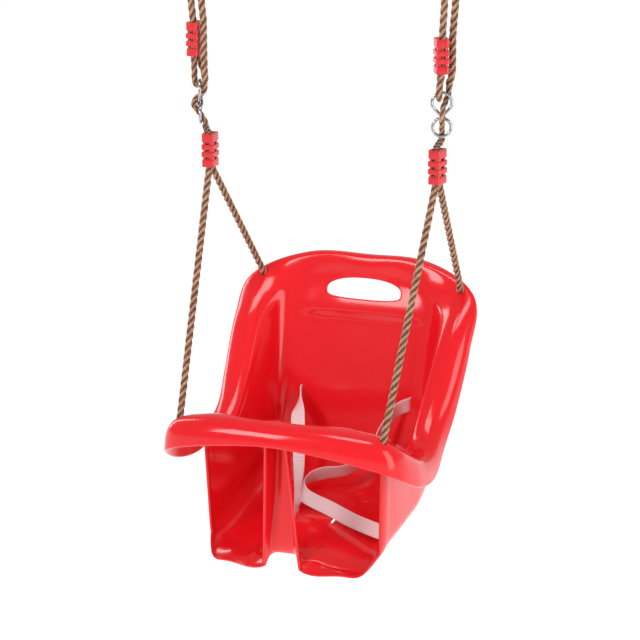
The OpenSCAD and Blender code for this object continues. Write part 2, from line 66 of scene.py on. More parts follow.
SEAT_DROP = 800
RING_FORWARD = 8
HANG_TILT = math.radians(2.2)
RING_HALF_SPAN = 179
RING_RADIUS = 17
RING_WIRE = 5
ROPE_R = 5.0
SQUEEZED_R = 4.0
LOOP_R = SQUEEZED_R + 0.4
EIGHT_HEIGHT = 60
EIGHT_WIRE = 4
LOWER_EYE = 11.7
UPPER_EYE = 12.6
CLAMP_END = 22
BORE_OFFSET = 5.3
CLAMP_TAIL = 2
REST_GAP = 0.3
STRAIGHT_END = 3
UNDER_HOLE = 10
CLAMP_WIDTH = 17.5
FRONT_HOLE = (140, -151, 192)
BACK_HOLE = (144, 144, 315)
ROPE_HOLE_R = 6
HANDLE_MIDDLE = (0.0, 160.0, 299.0)
HANDLE_HALF_WIDTH = 56.0
HANDLE_REACH = (18.0, -14.0)
BACK_SLOT = (80.0, 124.0, 155.0)
FLOOR_SLOT = (27, -32)
SLOT_HALF_SIZE = (2.5, 13.0)
WEBBING_WIDTH = 20
WEBBING_THICK = 1.4
WALL = 4.0
SIDES = (("left", -1), ("right", 1))
EIGHT_TURN = {-1: -68, 1: 18}
LOWER_TURN = {-1: 3, 1: -9}
UPPER_TURN = {-1: -4, 1: 30}
EIGHT_CENTRE = {-1: (-169, -6, 580), 1: (165, -6, 584)}
LOWER_CENTRE = {-1: (-158, -1, 516), 1: (158, -1, 516)}
UPPER_CENTRE = {-1: (-174, -7, 663), 1: (164, -7, 659)}
BESIDE_LEAN = {-1: -4, 1: 1}
SEAT_TO_ROW = Matrix.Rotation(-HANG_TILT, 4, "X") @ Matrix.Translation((0, RING_FORWARD, -SEAT_DROP))
HEIGHT_TRAVEL = 60

# ---------- values used only for what is seen ----------

HOLE_POINTS = 28
HOLE_MARGIN = 1.4
FLOOR_MARGIN = 2.2
FLOOR_GRID = 4.0
FLOOR_CURVE = 1.6
HANDLE_POINTS = 72
CLAMP_EDGE = 0.0009
STOP_EDGE = 0.0008


def to_row(points):
    """Seat frame millimetres to row frame metres."""
    p = np.asarray(points, float).reshape(-1, 3)
    m = np.array(SEAT_TO_ROW)
    return (p @ m[:3, :3].T + m[:3, 3]) * MM


def row_point(p):
    return Vector(to_row(p)[0])


# ---------- camera ----------

def make_camera():
    azimuth, elevation, roll = math.radians(21.5), math.radians(15.5), math.radians(-0.25)
    distance = 3200
    target = Vector((0, -10, 300))
    back = Vector((
        math.sin(azimuth) * math.cos(elevation),
        -math.cos(azimuth) * math.cos(elevation),
        math.sin(elevation),
    ))
    level = Vector((math.cos(azimuth), math.sin(azimuth), 0))
    upright = back.cross(level)
    right = level * math.cos(roll) + upright * math.sin(roll)
    up = upright * math.cos(roll) - level * math.sin(roll)
    turn = Matrix((right, up, back)).transposed().to_4x4()
    data = bpy.data.cameras.new("camera")
    data.sensor_width = 36
    data.lens = 136.8
    data.clip_start = 0.05
    data.clip_end = 100
    camera = bpy.data.objects.new("camera", data)
    placed = SEAT_TO_ROW @ Matrix.Translation(target + back * distance) @ turn
    placed.translation = placed.translation * MM
    camera.matrix_world = placed
    bpy.context.scene.collection.objects.link(camera)
    bpy.context.scene.camera = camera


make_camera()


# ---------- helpers ----------

def new_object(name, vertices, faces, material, smooth=True):
    mesh = bpy.data.meshes.new(name)
    mesh.from_pydata([tuple(v) for v in vertices], [], [tuple(f) for f in faces])
    mesh.update()
    if smooth:
        mesh.shade_smooth()
    mesh.materials.append(material)
    obj = bpy.data.objects.new(name, mesh)
    bpy.context.scene.collection.objects.link(obj)
    return obj


def band(low, high, sides):
    """Faces between two rings of vertices that start at number low and at number high."""
    for k in range(sides):
        m = (k + 1) % sides
        yield low + k, low + m, high + m, high + k


def stand_for(obj, node, body):
    """The piece replaces the CAD node, which is hidden, and goes into the given body."""
    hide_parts(node)
    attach(obj, body)


def unit(v):
    return v / np.linalg.norm(v)


def step(x):
    """Smooth rise from 0 to 1 as x goes from 0 to 1."""
    x = np.clip(x, 0.0, 1.0)
    return x * x * (3 - 2 * x)


def turned(p, degrees):
    a = math.radians(degrees)
    return np.array([
        p[0] * math.cos(a) - p[1] * math.sin(a),
        p[0] * math.sin(a) + p[1] * math.cos(a),
        p[2],
    ])


# ---------- materials ----------

class Nodes:
    """A small wrapper round a material's node tree."""

    def __init__(self, name):
        self.material = bpy.data.materials.new(name)
        self.material.use_nodes = True
        self.tree = self.material.node_tree
        self.shader = self.tree.nodes["Principled BSDF"]

    def add(self, kind, **values):
        node = self.tree.nodes.new(kind)
        for key, value in values.items():
            if hasattr(node, key):
                setattr(node, key, value)
            else:
                node.inputs[key].default_value = value
        return node

    def link(self, source, target):
        self.tree.links.new(source, target)

    def shade(self, **values):
        """Sets the shader's inputs: a number or colour directly, a node's output by a link."""
        for key, value in values.items():
            target = self.shader.inputs[key.replace("_", " ")]
            if isinstance(value, bpy.types.NodeSocket):
                self.link(value, target)
            else:
                target.default_value = value

    def noise(self, scale, detail=2.0, roughness=0.5):
        coordinates = self.add("ShaderNodeTexCoord")
        noise = self.add("ShaderNodeTexNoise", Scale=scale, Detail=detail, Roughness=roughness)
        self.link(coordinates.outputs["Object"], noise.inputs["Vector"])
        return noise.outputs["Fac"]

    def ramp(self, source, stops):
        ramp = self.add("ShaderNodeValToRGB")
        elements = ramp.color_ramp.elements
        while len(elements) < len(stops):
            elements.new(0.5)
        for element, (position, colour) in zip(elements, stops):
            element.position = position
            element.color = (*colour, 1)
        self.link(source, ramp.inputs["Fac"])
        return ramp.outputs["Color"]

    def math(self, operation, a, b=None):
        node = self.add("ShaderNodeMath", operation=operation)
        for index, value in enumerate((a, b)):
            if value is None:
                continue
            if isinstance(value, (int, float)):
                node.inputs[index].default_value = value
            else:
                self.link(value, node.inputs[index])
        return node.outputs["Value"]

    def scaled(self, source, low, high):
        node = self.add("ShaderNodeMapRange")
        node.inputs["To Min"].default_value = low
        node.inputs["To Max"].default_value = high
        self.link(source, node.inputs["Value"])
        return node.outputs["Result"]

    def bump(self, height, distance, strength=1.0, normal=None):
        node = self.add("ShaderNodeBump", Strength=strength, Distance=distance)
        self.link(height, node.inputs["Height"])
        if normal is not None:
            self.link(normal, node.inputs["Normal"])
        return node.outputs["Normal"]

    def uv(self, name):
        node = self.add("ShaderNodeUVMap", uv_map=name)
        split = self.add("ShaderNodeSeparateXYZ")
        self.link(node.outputs["UV"], split.inputs["Vector"])
        return split.outputs["X"], split.outputs["Y"]

    def weighted(self, *terms):
        """Sum of values, each times its weight."""
        total = None
        for value, weight in terms:
            part = self.math("MULTIPLY", value, weight)
            total = part if total is None else self.math("ADD", total, part)
        return total

    def wave(self, phase):
        """0 to 1 sine wave, one period for each whole number of phase."""
        sine = self.math("SINE", self.math("MULTIPLY", phase, 2 * math.pi))
        return self.math("ADD", self.math("MULTIPLY", sine, 0.5), 0.5)


def seat_plastic():
    """Gloss red moulding: faint flow marks, slightly uneven gloss."""
    n = Nodes("seat_plastic")
    colour = n.ramp(n.noise(3.5), [(0.35, (0.76, 0.006, 0.011)), (0.65, (0.82, 0.008, 0.015))])
    gloss = n.scaled(n.noise(9.0, 4.0), 0.11, 0.20)
    waves = n.bump(n.noise(14.0, 1.0), 0.0006, 0.35)
    grain = n.bump(n.noise(900.0, 2.0), 0.00004, 0.3, waves)
    n.shade(Base_Color=colour, Roughness=gloss, Normal=grain)
    n.shade(IOR=1.42, Coat_Weight=0.18, Coat_Roughness=0.03, Coat_IOR=1.5)
    return n.material


def clamp_plastic():
    """Satin red moulding with fine grain."""
    n = Nodes("clamp_plastic")
    colour = n.ramp(n.noise(60.0, 3.0), [(0.3, (0.60, 0.008, 0.013)), (0.7, (0.72, 0.012, 0.020))])
    gloss = n.scaled(n.noise(150.0, 3.0), 0.22, 0.34)
    grain = n.bump(n.noise(1500.0, 2.0), 0.00008, 0.4)
    n.shade(Base_Color=colour, Roughness=gloss, Normal=grain, IOR=1.5, Coat_Weight=0.25, Coat_Roughness=0.08)
    return n.material


def rope_fibre():
    """Three-strand rope: yarns laid against the strands, with painted shade: crowns painted lighter and
    grooves between the strands painted darker.
    """
    n = Nodes("rope_fibre")
    around, along = n.uv("strand")
    yarns = n.wave(n.weighted((around, 7.0), (along, -9.0)))
    # The attribute read here is painted shade: it lightens the strands' crowns and darkens the grooves
    # between them.
    groove = n.add("ShaderNodeAttribute", attribute_name="groove").outputs["Fac"]
    mottle = n.noise(420.0, 3.0, 0.6)
    patches = n.noise(120.0, 2.0)
    light = n.weighted((groove, 0.62), (mottle, 0.55), (yarns, 0.24), (patches, 0.34))
    colour = n.ramp(n.math("MULTIPLY", light, 0.72), [
        (0.48, (0.050, 0.008, 0.002)),
        (0.65, (0.210, 0.060, 0.022)),
        (0.77, (0.450, 0.190, 0.085)),
        (0.90, (0.860, 0.540, 0.320)),
    ])
    coarse = n.bump(yarns, 0.0008, 1.0)
    fibres = n.bump(n.noise(2200.0, 3.0), 0.0002, 0.7, coarse)
    n.shade(Base_Color=colour, Normal=fibres, Roughness=0.62, Sheen_Weight=0.25, Sheen_Roughness=0.4)
    return n.material


def webbing_weave():
    """Pale woven tape: ribs across the width, crossed by fine warp lines."""
    n = Nodes("webbing_weave")
    across, along = n.uv("tape")
    ribs = n.wave(n.math("MULTIPLY", along, 9.0))
    warp = n.wave(n.weighted((across, 12.0), (along, 4.5)))
    weave = n.weighted((ribs, 0.6), (warp, 0.4))
    colour = n.ramp(weave, [(0.15, (0.60, 0.32, 0.34)), (0.7, (0.97, 0.84, 0.85))])
    n.shade(Base_Color=colour, Normal=n.bump(weave, 0.0003, 0.8), Roughness=0.72, Sheen_Weight=0.2)
    return n.material


def steel(name, colour, low, high, scratch):
    """Steel with roughness between low and high, and marks as deep as scratch, in metres."""
    n = Nodes(name)
    tint = n.ramp(n.noise(60.0, 2.0), [(0.3, tuple(0.9 * c for c in colour)), (0.7, colour)])
    gloss = n.scaled(n.noise(120.0, 3.0), low, high)
    marks = n.bump(n.noise(1200.0, 2.0), scratch, 0.15)
    n.shade(Base_Color=tint, Roughness=gloss, Normal=marks, Metallic=1.0)
    return n.material


def black_plastic():
    n = Nodes("black_plastic")
    colour = n.ramp(n.noise(200.0, 3.0), [(0.3, (0.012, 0.012, 0.013)), (0.7, (0.030, 0.030, 0.032))])
    n.shade(Base_Color=colour, Normal=n.bump(n.noise(1200.0, 2.0), 0.0001, 0.4), Roughness=0.45)
    return n.material


RED = seat_plastic()
CLAMP_RED = clamp_plastic()
ROPE = rope_fibre()
TAPE = webbing_weave()
CHROME = steel("bright_wire", (0.46, 0.46, 0.47), 0.12, 0.20, 0.00001)
RING_STEEL = steel("ring_steel", (0.62, 0.63, 0.65), 0.22, 0.38, 0.0001)
BLACK = black_plastic()


# ---------- seat surface ----------

# One row for each station from the middle of the front bar round the right side to the middle
# of the back: distance along the rim, then outer lip, rim crown, inner edge of the rim, foot of
# the wall, corner below it and edge of the floor.
STATIONS = [
    (0, (0, -188, 182), (0, -163, 204), (0, -140, 188), (0, -140, 34), (0, -138, 12), (0, -118, 18)),
    (14, (14, -188, 182), (14, -163, 204), (10, -140, 188), (17, -142, 30), (18, -140, 12), (16, -118, 18)),
    (20, (20, -188, 182), (20, -163, 204), (13, -168, 182), (25, -148, -2), (25, -146, 16), (23, -122, 18)),
    (85, (85, -184, 174), (85, -159, 203), (80, -136, 188), (80, -143, -4), (80, -143, 16), (74, -118, 18)),
    (120, (123, -178, 166), (115, -156, 198), (106, -128, 180), (104, -134, -4), (104, -134, 15),
     (88, -110, 15)),
    (150, (157, -164, 154), (140, -148, 191.5), (124, -110, 165), (119, -104, 20), (114, -98, 0),
     (94, -90, 11)),
    (200, (169, -112, 126), (150, -104, 164), (127, -86, 146), (122, -78, 32), (114, -74, -1), (86, -66, 11)),
    (240, (169, -62, 112), (150, -62, 145), (127, -55, 130), (124, -42, 38), (112, -40, 1), (84, -36, 17)),
    (280, (166, -20, 113), (148, -24, 147), (126, -24, 128), (125, -4, 44), (113, -2, 5), (82, -6, 22)),
    (325, (163, 20, 138), (146, 12, 170), (125, 8, 152), (125, 34, 50), (113, 40, 9), (80, 26, 29)),
    (365, (167, 55, 181), (148, 48, 210), (126, 46, 190), (122, 76, 62), (110, 80, 20), (76, 54, 36)),
    (415, (170, 100, 250), (150, 92, 272), (127, 95, 248), (117, 109, 88), (100, 106, 34), (66, 70, 45)),
    (470, (163, 142, 304), (143, 144, 315), (115, 142, 291), (84, 113, 103), (70, 108, 45), (48, 76, 53)),
    (545, (90, 180, 334), (80, 162, 343), (65, 160, 314), (48, 117, 110), (40, 107, 50), (27, 76, 56)),
    (635, (0, 188, 336), (0, 168, 344.5), (0, 163, 316), (0, 118, 112), (0, 108, 50), (0, 77, 56)),
]
FLOOR_MIDDLE = np.array([0.0, -20.0, 35.0])
HALF_RIM = STATIONS[-1][0]
LOOP = 2 * HALF_RIM
FLANGE_U = STATIONS[2][0]
SIDE_WALL_U = STATIONS[5][0]
MIRROR = np.array([-1.0, 1.0, 1.0])


def station(i):
    """Distance and guide points of station i, mirrored beyond both ends."""
    last = len(STATIONS) - 1
    if i < 0:
        return -STATIONS[-i][0], np.array(STATIONS[-i][1:], float) * MIRROR
    if i > last:
        return LOOP - STATIONS[2 * last - i][0], np.array(STATIONS[2 * last - i][1:], float) * MIRROR
    return STATIONS[i][0], np.array(STATIONS[i][1:], float)


def cubic_weights(t):
    """Shares of the first point, its slope, the second point and its slope in a smooth curve."""
    return 2 * t**3 - 3 * t**2 + 1, t**3 - 2 * t**2 + t, 3 * t**2 - 2 * t**3, t**3 - t**2


def guides_at(u):
    """The six guide points at distance u along the right half of the rim."""
    i = 0
    while i < len(STATIONS) - 2 and u >= STATIONS[i + 1][0]:
        i += 1
    (ua, a), (ub, b), (uc, c), (ud, d) = (station(k) for k in (i - 1, i, i + 1, i + 2))
    h = uc - ub
    first, first_slope, second, second_slope = cubic_weights((u - ub) / h)
    slope_b = (c - a) / (uc - ua)
    slope_c = (d - b) / (ud - ub)
    return first * b + first_slope * h * slope_b + second * c + second_slope * h * slope_c


def bezier(a, b, c, d, t):
    return (1 - t)**3 * a + 3 * (1 - t)**2 * t * b + 3 * (1 - t) * t * t * c + t**3 * d


def section_point(guides, t):
    """t: 0..1 outer skirt, 1..2 inner side of the rim, 2..3 wall, 3..4 bend, 4..5 floor."""
    lip, crown, inner, foot, corner, edge = guides
    outer_top = np.array([lip[0], lip[1], crown[2]])
    inner_top = np.array([inner[0], inner[1], crown[2]])
    if t <= 1:
        return bezier(lip, lip + 0.75 * (outer_top - lip), crown + 0.62 * (outer_top - crown), crown, t)
    if t <= 2:
        high = crown + 0.62 * (inner_top - crown)
        low = inner + 0.62 * (inner_top - inner)
        return bezier(crown, high, low, inner, t - 1)
    if t <= 3:
        return inner + (foot - inner) * (t - 2)
    if t <= 4:
        return bezier(foot, foot + 0.75 * (corner - foot), edge + 0.6 * (corner - edge), edge, t - 3)
    return floor_point(edge, t - 4)


def floor_point(edge, share):
    """From the floor's edge to its middle, levelling out towards the middle."""
    p = edge + (FLOOR_MIDDLE - edge) * share
    p[2] = edge[2] + (FLOOR_MIDDLE[2] - edge[2]) * (1 - (1 - share)**FLOOR_CURVE)
    return p


def raised_panel(p):
    """The handle panel stands a little proud of the back, with a soft ledge under it."""
    x, y, z = p
    proud = 4.0 * step((z - 259) / 11) * step((314 - z) / 36) * step((108 - abs(x)) / 44)
    return np.array([x, y - proud * step((y - 110) / 30), z])


def seat_grid():
    """Grid of points over the seat: columns round the rim, rows down the section."""
    half = np.concatenate([
        np.linspace(0, FLANGE_U, 7)[:-1],
        np.linspace(FLANGE_U, SIDE_WALL_U, 31)[:-1],
        np.linspace(SIDE_WALL_U, HALF_RIM, 101),
    ])
    columns = np.concatenate([half, LOOP - half[-2:0:-1]])
    rows = np.concatenate([
        np.linspace(0, 1, 14)[:-1],
        np.linspace(1, 2, 14)[:-1],
        np.linspace(2, 3, 31)[:-1],
        np.linspace(3, 4, 15)[:-1],
        np.linspace(4, 4.4, 6),
    ])
    grid = np.zeros((len(columns), len(rows), 3))
    for c, u in enumerate(columns):
        mirrored = u > HALF_RIM
        guides = guides_at(LOOP - u if mirrored else u)
        for r, t in enumerate(rows):
            grid[c, r] = section_point(guides, t)
        if mirrored:
            grid[c] *= MIRROR
    soften_round(grid, columns, rows)
    soften_down(grid, np.full(grid.shape[:2], 0.5), 4)
    for c in range(len(columns)):
        for r in range(len(rows)):
            grid[c, r] = raised_panel(grid[c, r])
    return columns, rows, grid


def soften(grid, share, rounds):
    """Moves points towards the middle of their neighbours, working round the seat."""
    for _ in range(rounds):
        middle = (np.roll(grid, 1, axis=0) + np.roll(grid, -1, axis=0)) / 2
        grid += share[:, :, None] * (middle - grid)


def soften_down(grid, share, rounds):
    """The same, working down the section."""
    for _ in range(rounds):
        middle = (grid[:, :-2] + grid[:, 2:]) / 2
        grid[:, 1:-1] += share[:, 1:-1, None] * (middle - grid[:, 1:-1])


def soften_round(grid, columns, rows):
    """Rounds the wall's back corners, the front bar and the floor's bends."""
    u = np.minimum(columns, LOOP - columns)[:, None]
    t = rows[None, :]
    # The wall's back corners
    soften(grid, 0.5 * step((u - 310) / 70) * step((590 - u) / 40) * step((t - 1.3) / 0.6), 50)
    # The front bar
    soften(grid, 0.15 * step((210 - u) / 40) * step((1.5 - t) / 0.3), 50)
    # The floor's bends
    for _ in range(6):
        soften(grid, 0.5 * step((u - 45) / 25) * step((t - 2.95) / 0.9), 20)
        soften_down(grid, 0.5 * step((u - 30) / 30) * step((t - 3.05) / 0.25), 12)


COLUMNS, ROWS, GRID = seat_grid()


def surface(u, t):
    """Point of the smoothed grid at (u, t)."""
    c = int(np.searchsorted(COLUMNS, u, side="right")) - 1
    r = min(int(np.searchsorted(ROWS, t, side="right")) - 1, len(ROWS) - 2)
    c2 = (c + 1) % len(COLUMNS)
    end = COLUMNS[c2] if c2 else LOOP
    fu = (u - COLUMNS[c]) / (end - COLUMNS[c])
    ft = (t - ROWS[r]) / (ROWS[r + 1] - ROWS[r])
    low = GRID[c, r] * (1 - fu) + GRID[c2, r] * fu
    high = GRID[c, r + 1] * (1 - fu) + GRID[c2, r + 1] * fu
    return low * (1 - ft) + high * ft


def find_on_surface(centre, e1, e2, a, b, u, t):
    """(u, t) where the surface crosses the line through centre + a*e1 + b*e2 across e1 and e2."""
    for _ in range(12):
        offset = surface(u, t) - centre
        error = np.array([a - offset @ e1, b - offset @ e2])
        du = (surface(u + 0.5, t) - surface(u - 0.5, t))
        dt = (surface(u, t + 0.01) - surface(u, t - 0.01)) / 0.02
        jacobian = np.array([[du @ e1, dt @ e1], [du @ e2, dt @ e2]])
        move = np.linalg.solve(jacobian, error)
        u += float(np.clip(move[0], -20, 20))
        t += float(np.clip(move[1], -0.3, 0.3))
        if np.abs(error).max() < 1e-3:
            break
    return u, t


def axes_across(direction):
    """Two unit axes across a direction."""
    helper = Y_AXIS if abs(direction[1]) < 0.7 else X_AXIS
    e1 = unit(np.cross(direction, helper))
    return e1, np.cross(direction, e1)


def handle_edge(angle):
    """Outline of the handle opening: arched top, flatter bottom."""
    above, below = HANDLE_REACH
    reach, flatness, squareness = (above, 0.95, 0.9) if math.sin(angle) >= 0 else (below, 0.5, 0.7)
    across = math.copysign(abs(math.cos(angle))**squareness, math.cos(angle))
    return HANDLE_HALF_WIDTH * across, reach * abs(math.sin(angle))**flatness


def slot_edge(angle):
    """Outline of a belt slot, with rounded ends."""
    half_width, half_length = SLOT_HALF_SIZE
    c, s = math.cos(angle), math.sin(angle)
    return half_width * math.copysign(abs(c)**0.45, c), half_length * math.copysign(abs(s)**0.8, s)


def mouth(side, y):
    """Where a rope goes into the lower clamp from below."""
    return in_lower_clamp(side, (0, y, -CLAMP_END - REST_GAP))


def in_eight(side, p):
    return EIGHT_CENTRE[side] + turned(p, EIGHT_TURN[side])


def in_lower_clamp(side, p):
    return LOWER_CENTRE[side] + turned(p, LOWER_TURN[side])


def in_upper_clamp(side, p):
    return UPPER_CENTRE[side] + turned(p, UPPER_TURN[side])


def hole_at(side, hole):
    return np.array([side * hole[0], hole[1], hole[2]], float)


def outline(centre, e1, e2, edge, count, guess):
    """(u, t) points of a hole's outline."""
    found = []
    u, t = guess
    for k in range(count):
        a, b = edge(2 * math.pi * (k + 0.5) / count)
        u, t = find_on_surface(centre, e1, e2, a, b, u, t)
        found.append((u, t))
    return found


def wall_holes():
    """Outlines of all the openings that lie in the grid."""
    handle = np.array(HANDLE_MIDDLE)
    holes = [outline(handle, X_AXIS, Z_AXIS, handle_edge, HANDLE_POINTS, (HALF_RIM, 2.15))]
    for _, side in SIDES:
        def place(u, side=side):
            return u if side > 0 else LOOP - u
        slot = hole_at(side, BACK_SLOT)
        holes.append(outline(slot, X_AXIS, Z_AXIS, slot_edge, HOLE_POINTS, (place(478), 2.7)))
        for hole, y, guess in ((FRONT_HOLE, -BORE_OFFSET, (150, 1.0)), (BACK_HOLE, BORE_OFFSET, (470, 1.0))):
            centre = hole_at(side, hole)
            e1, e2 = axes_across(unit(centre - mouth(side, y)))
            holes.append(outline(
                centre, e1, e2,
                lambda a: (ROPE_HOLE_R * math.cos(a), ROPE_HOLE_R * math.sin(a)),
                HOLE_POINTS, (place(guess[0]), guess[1])))
    return holes


def inside(polygon, x, y):
    """Whether the point lies in the polygon."""
    crossed = False
    previous = polygon[-1]
    for point in polygon:
        if (point[1] > y) != (previous[1] > y):
            edge_x = point[0] + (y - point[1]) * (previous[0] - point[0]) / (previous[1] - point[1])
            if x < edge_x:
                crossed = not crossed
        previous = point
    return crossed


def triangulate(points, hole_edges, polygons, scale):
    """Triangles over flat points, without those that lie in a hole."""
    flat = [Vector((p[0] * scale[0], p[1] * scale[1])) for p in points]
    scaled = [[(p[0] * scale[0], p[1] * scale[1]) for p in polygon] for polygon in polygons]
    out, _, faces, origin, _, _ = delaunay_2d_cdt(flat, hole_edges, [], 0, 1e-6)
    kept = []
    for f in faces:
        x = sum(out[k][0] for k in f) / 3
        y = sum(out[k][1] for k in f) / 3
        if not any(inside(polygon, x, y) for polygon in scaled):
            kept.append([origin[k][0] for k in f])
    return kept


def grid_vertex(c, r):
    """Number of the grid's vertex in column c and row r."""
    return (c % len(COLUMNS)) * len(ROWS) + r


def patch(polygon, vertices, faces, is_lip):
    """Joins a hole's outline to the grid round it. Returns the grid cells that this replaces."""
    us, ts = [p[0] for p in polygon], [p[1] for p in polygon]
    c0 = int(np.searchsorted(COLUMNS, min(us))) - 2
    c1 = int(np.searchsorted(COLUMNS, max(us))) + 2
    r0 = int(np.searchsorted(ROWS, min(ts))) - 2
    r1 = int(np.searchsorted(ROWS, max(ts))) + 2
    u, t = sum(us) / len(us), sum(ts) / len(ts)
    t_length = np.linalg.norm(surface(u, t + 0.05) - surface(u, t - 0.05)) / 0.1
    points, numbers = [], []
    for c in range(c0, c1 + 1):
        for r in range(r0, r1 + 1):
            border = c in (c0, c1) or r in (r0, r1)
            near = min(
                (COLUMNS[c] - p[0])**2 + ((ROWS[r] - p[1]) * t_length)**2 for p in polygon) < HOLE_MARGIN**2
            if border or not (near or inside(polygon, COLUMNS[c], ROWS[r])):
                points.append((COLUMNS[c], ROWS[r]))
                numbers.append(grid_vertex(c, r))
    first = len(points)
    for p in polygon:
        points.append(p)
        numbers.append(len(vertices))
        vertices.append(surface(*p))
        is_lip.append(False)
    edges = [(first + k, first + (k + 1) % len(polygon)) for k in range(len(polygon))]
    for f in triangulate(points, edges, [polygon], (1.0, t_length)):
        faces.append([numbers[k] for k in f])
    return {(c, r) for c in range(c0, c1) for r in range(r0, r1)}


def leg_openings():
    """Grid cells of the wall that the two leg openings leave out."""
    cells = set()
    for c, u in enumerate(COLUMNS):
        from_front = min(u + 0.1, LOOP - (u + 0.1))
        for r in range(len(ROWS) - 1):
            if 2 - 1e-6 <= ROWS[r] < 3 - 1e-6 and FLANGE_U < from_front < SIDE_WALL_U:
                cells.add((c, r))
    return cells


def middle_surface():
    """Vertices and faces of the seat's middle surface, with every opening left out."""
    columns, rows = range(len(COLUMNS)), range(len(ROWS))
    vertices = [GRID[c, r] for c in columns for r in rows]
    is_lip = [r == 0 for _ in columns for r in rows]
    skipped = leg_openings()
    faces = []
    for polygon in wall_holes():
        skipped |= patch(polygon, vertices, faces, is_lip)
    for c in columns:
        for r in rows[:-1]:
            if (c, r) not in skipped:
                corners = ((c, r), (c + 1, r), (c + 1, r + 1), (c, r + 1))
                faces.append([grid_vertex(*corner) for corner in corners])
    first_inside = len(vertices)
    add_floor(vertices, faces, is_lip)
    vertices = np.array(vertices)
    on_floor = [grid_vertex(c, r) for c in columns for r in rows if ROWS[r] > 3.8]
    relax_heights(vertices, faces, on_floor + list(range(first_inside, len(vertices))))
    return vertices, faces, is_lip


def relax_heights(vertices, faces, moving, rounds=60):
    """Evens out the heights of the moving vertices, so that the floor has no ridges."""
    pairs = {tuple(sorted(edge)) for f in faces for edge in zip(f, f[1:] + f[:1])}
    a, b = np.array(sorted(pairs)).T
    count = len(vertices)
    neighbours = np.bincount(a, minlength=count) + np.bincount(b, minlength=count)
    for _ in range(rounds):
        total = np.bincount(a, vertices[b, 2], count) + np.bincount(b, vertices[a, 2], count)
        vertices[moving, 2] += 0.5 * (total[moving] / neighbours[moving] - vertices[moving, 2])


def floor_height():
    """A function for the height of the floor inside the grid's last row."""
    edge = GRID[:, -1]
    angles = np.unwrap(np.arctan2(edge[:, 1] - FLOOR_MIDDLE[1], edge[:, 0] - FLOOR_MIDDLE[0]))
    radii = np.linalg.norm(edge[:, :2] - FLOOR_MIDDLE[:2], axis=1)
    closed_angles = np.append(angles, angles[0] + 2 * math.pi)
    closed_radii = np.append(radii, radii[0])
    closed_heights = np.append(edge[:, 2], edge[0, 2])
    share_left = 1 - (ROWS[-1] - 4)

    def height(x, y):
        dx, dy = x - FLOOR_MIDDLE[0], y - FLOOR_MIDDLE[1]
        angle = math.atan2(dy, dx)
        while angle < closed_angles[0]:
            angle += 2 * math.pi
        while angle > closed_angles[-1]:
            angle -= 2 * math.pi
        left = math.hypot(dx, dy) / np.interp(angle, closed_angles, closed_radii) * share_left
        rise = (np.interp(angle, closed_angles, closed_heights) - FLOOR_MIDDLE[2]) / share_left**FLOOR_CURVE
        return FLOOR_MIDDLE[2] + rise * left**FLOOR_CURVE

    return height


def add_floor(vertices, faces, is_lip):
    """Fills the middle of the floor, round the two belt slots."""
    height = floor_height()
    numbers = [grid_vertex(c, len(ROWS) - 1) for c in range(len(COLUMNS))]
    boundary = [tuple(vertices[n][:2]) for n in numbers]
    points, polygons = list(boundary), []
    edges = [(k, (k + 1) % len(boundary)) for k in range(len(boundary))]

    def add(x, y):
        points.append((x, y))
        numbers.append(len(vertices))
        vertices.append(np.array([x, y, height(x, y)]))
        is_lip.append(False)

    for _, side in SIDES:
        polygon = []
        for k in range(HOLE_POINTS):
            a, b = slot_edge(2 * math.pi * (k + 0.5) / HOLE_POINTS)
            polygon.append((side * FLOOR_SLOT[0] + a, FLOOR_SLOT[1] + b))
        first = len(points)
        edges += [(first + k, first + (k + 1) % HOLE_POINTS) for k in range(HOLE_POINTS)]
        polygons.append(polygon)
        for x, y in polygon:
            add(x, y)
    fixed = list(points)
    for x in np.arange(-60, 60.1, FLOOR_GRID):
        for y in np.arange(-84, 44.1, FLOOR_GRID):
            if not inside(boundary, x, y) or any(inside(p, x, y) for p in polygons):
                continue
            if min((x - p[0])**2 + (y - p[1])**2 for p in fixed) >= FLOOR_MARGIN**2:
                add(x, y)
    for f in triangulate(points, edges, polygons, (1.0, 1.0)):
        x = sum(points[k][0] for k in f) / 3
        y = sum(points[k][1] for k in f) / 3
        if inside(boundary, x, y):
            faces.append([numbers[k] for k in f])


def wound_alike(vertices, faces):
    """Winds every face the same way as its neighbours, with the floor facing up."""
    mesh = bpy.data.meshes.new("winding")
    mesh.from_pydata([tuple(v) for v in vertices], [], faces)
    work = bmesh.new()
    work.from_mesh(mesh)
    bmesh.ops.recalc_face_normals(work, faces=work.faces)
    top = min(work.faces, key=lambda f: (f.calc_center_median() - Vector((0, 0, 34))).length)
    if top.normal.z < 0:
        bmesh.ops.reverse_faces(work, faces=work.faces)
    wound = [[v.index for v in f.verts] for f in work.faces]
    work.free()
    bpy.data.meshes.remove(mesh)
    return wound


def vertex_normals(vertices, faces):
    normals = np.zeros_like(vertices)
    for f in faces:
        p = vertices[f]
        n = np.cross(p[2] - p[0], p[-1] - p[1]) if len(f) == 4 else np.cross(p[1] - p[0], p[2] - p[0])
        for k in f:
            normals[k] += n
    lengths = np.linalg.norm(normals, axis=1)
    lengths[lengths == 0] = 1
    return normals / lengths[:, None]


def edge_profile(is_bead):
    """Points across a rounded edge from the upper face to the lower: along the normal, outwards."""
    steps = 8
    bulge, reach = (1.1, 3.6) if is_bead else (0.25, 2.2)
    profile = []
    for k in range(1, steps):
        a = math.pi * k / steps
        profile.append((WALL / 2 * math.cos(a) + bulge * math.sin(a)**2 * math.cos(a), reach * math.sin(a)))
    return profile


